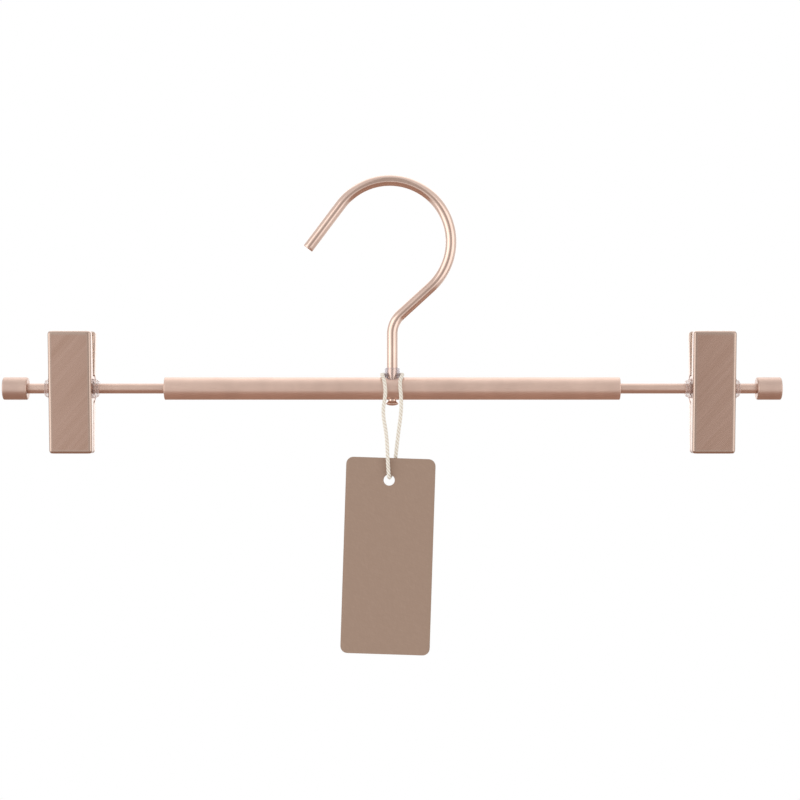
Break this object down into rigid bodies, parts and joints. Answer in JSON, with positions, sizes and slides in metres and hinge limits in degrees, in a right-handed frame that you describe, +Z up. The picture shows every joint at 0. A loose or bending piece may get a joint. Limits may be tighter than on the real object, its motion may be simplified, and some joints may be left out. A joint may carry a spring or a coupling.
{
  "type": "skirt hanger",
  "caption": "Skirt hanger with a swivelling round-wire hook, a straight bar of tube and thin rods, sliding sprung sheet-metal clips with clear bushes, and a plain card tag on a cord loop.",
  "frame": {"origin": "the point on the inside of the hook's bow, straight above the stem, where a rail bears", "axes": "+X along the bar to the viewer's right, +Y away from the viewer, +Z up along the stem"},
  "size_m": [0.3108, 0.0166, 0.1916],
  "materials": {
    "hook_metal": "satin rose-gold plating on steel wire",
    "bar_metal": "satin rose-gold plating",
    "jaw_metal": "satin rose-gold plating on sheet, faint grain",
    "spring_steel": "bright drawn spring wire",
    "clear_plastic": "clear moulded plastic",
    "soft_pad": "soft translucent plastic, ribbed",
    "tag_card": "uncoated brown card",
    "cotton_cord": "twisted three-ply cotton"
  },
  "bodies": {
    "hook": {"hook": "hook_metal"},
    "bar": {"hook_bush": "clear_plastic", "centre_tube": "bar_metal", "tube_plug_left": "bar_metal", "rod_left": "bar_metal", "end_cap_left": "bar_metal", "tube_plug_right": "bar_metal", "rod_right": "bar_metal", "end_cap_right": "bar_metal"},
    "left_slider": {"outer_bush_left": "clear_plastic", "inner_bush_left": "clear_plastic"},
    "left_spring": {"clip_spring_left": "spring_steel"},
    "left_front_jaw": {"front_jaw_left": "jaw_metal", "front_pad_left": "soft_pad"},
    "left_back_jaw": {"back_jaw_left": "jaw_metal", "back_pad_left": "soft_pad"},
    "right_slider": {"outer_bush_right": "clear_plastic", "inner_bush_right": "clear_plastic"},
    "right_spring": {"clip_spring_right": "spring_steel"},
    "right_front_jaw": {"front_jaw_right": "jaw_metal", "front_pad_right": "soft_pad"},
    "right_back_jaw": {"back_jaw_right": "jaw_metal", "back_pad_right": "soft_pad"},
    "tag_loop": {"tag_cord": "cotton_cord", "cord_knot": "cotton_cord"},
    "tag": {"swing_tag": "tag_card"}
  },
  "joints": [
    {"name": "hook_swivel", "type": "hinge", "parent": "hook", "child": "bar", "pos_m": [0, 0, -0.081], "axis": [0, 0, 1], "continuous": true},
    {"name": "left_clip_slide", "type": "slide", "parent": "bar", "child": "left_slider", "axis": [-1, 0, 0], "range_m": [-0.026, 0.0066]},
    {"name": "left_clip_tilt", "type": "hinge", "parent": "left_slider", "child": "left_spring", "pos_m": [-0.128, 0, -0.081], "axis": [1, 0, 0], "continuous": true},
    {"name": "left_front_open", "type": "hinge", "parent": "left_spring", "child": "left_front_jaw", "pos_m": [-0.128, 0, -0.081], "axis": [-1, 0, 0], "range_deg": [0, 10], "stiffness_Nm_per_rad": 0.3, "springref_deg": -2.01, "deforming": ["clip_spring_left"]},
    {"name": "left_back_open", "type": "hinge", "parent": "left_spring", "child": "left_back_jaw", "pos_m": [-0.128, 0, -0.081], "axis": [1, 0, 0], "range_deg": [0, 10], "deforming": ["clip_spring_left"]},
    {"name": "right_clip_slide", "type": "slide", "parent": "bar", "child": "right_slider", "axis": [1, 0, 0], "range_m": [-0.026, 0.0066]},
    {"name": "right_clip_tilt", "type": "hinge", "parent": "right_slider", "child": "right_spring", "pos_m": [0.128, 0, -0.081], "axis": [1, 0, 0], "continuous": true},
    {"name": "right_front_open", "type": "hinge", "parent": "right_spring", "child": "right_front_jaw", "pos_m": [0.128, 0, -0.081], "axis": [-1, 0, 0], "range_deg": [0, 10], "stiffness_Nm_per_rad": 0.3, "springref_deg": -2.01, "deforming": ["clip_spring_right"]},
    {"name": "right_back_open", "type": "hinge", "parent": "right_spring", "child": "right_back_jaw", "pos_m": [0.128, 0, -0.081], "axis": [1, 0, 0], "range_deg": [0, 10], "deforming": ["clip_spring_right"]},
    {"name": "tag_cord_swing", "type": "hinge", "parent": "bar", "child": "tag_loop", "pos_m": [0, 0.0041, -0.0752], "axis": [-1, 0, 0], "range_deg": [0, 60]},
    {"name": "tag_turn", "type": "hinge", "parent": "tag_loop", "child": "tag", "pos_m": [-0.0012, -0.0054, -0.1174], "axis": [0, 1, 0], "range_deg": [-20, 20]}
  ],
  "couplings": [
    {"joint": "left_back_open", "follows": "left_front_open", "ratio": 1},
    {"joint": "right_back_open", "follows": "right_front_open", "ratio": 1}
  ]
}
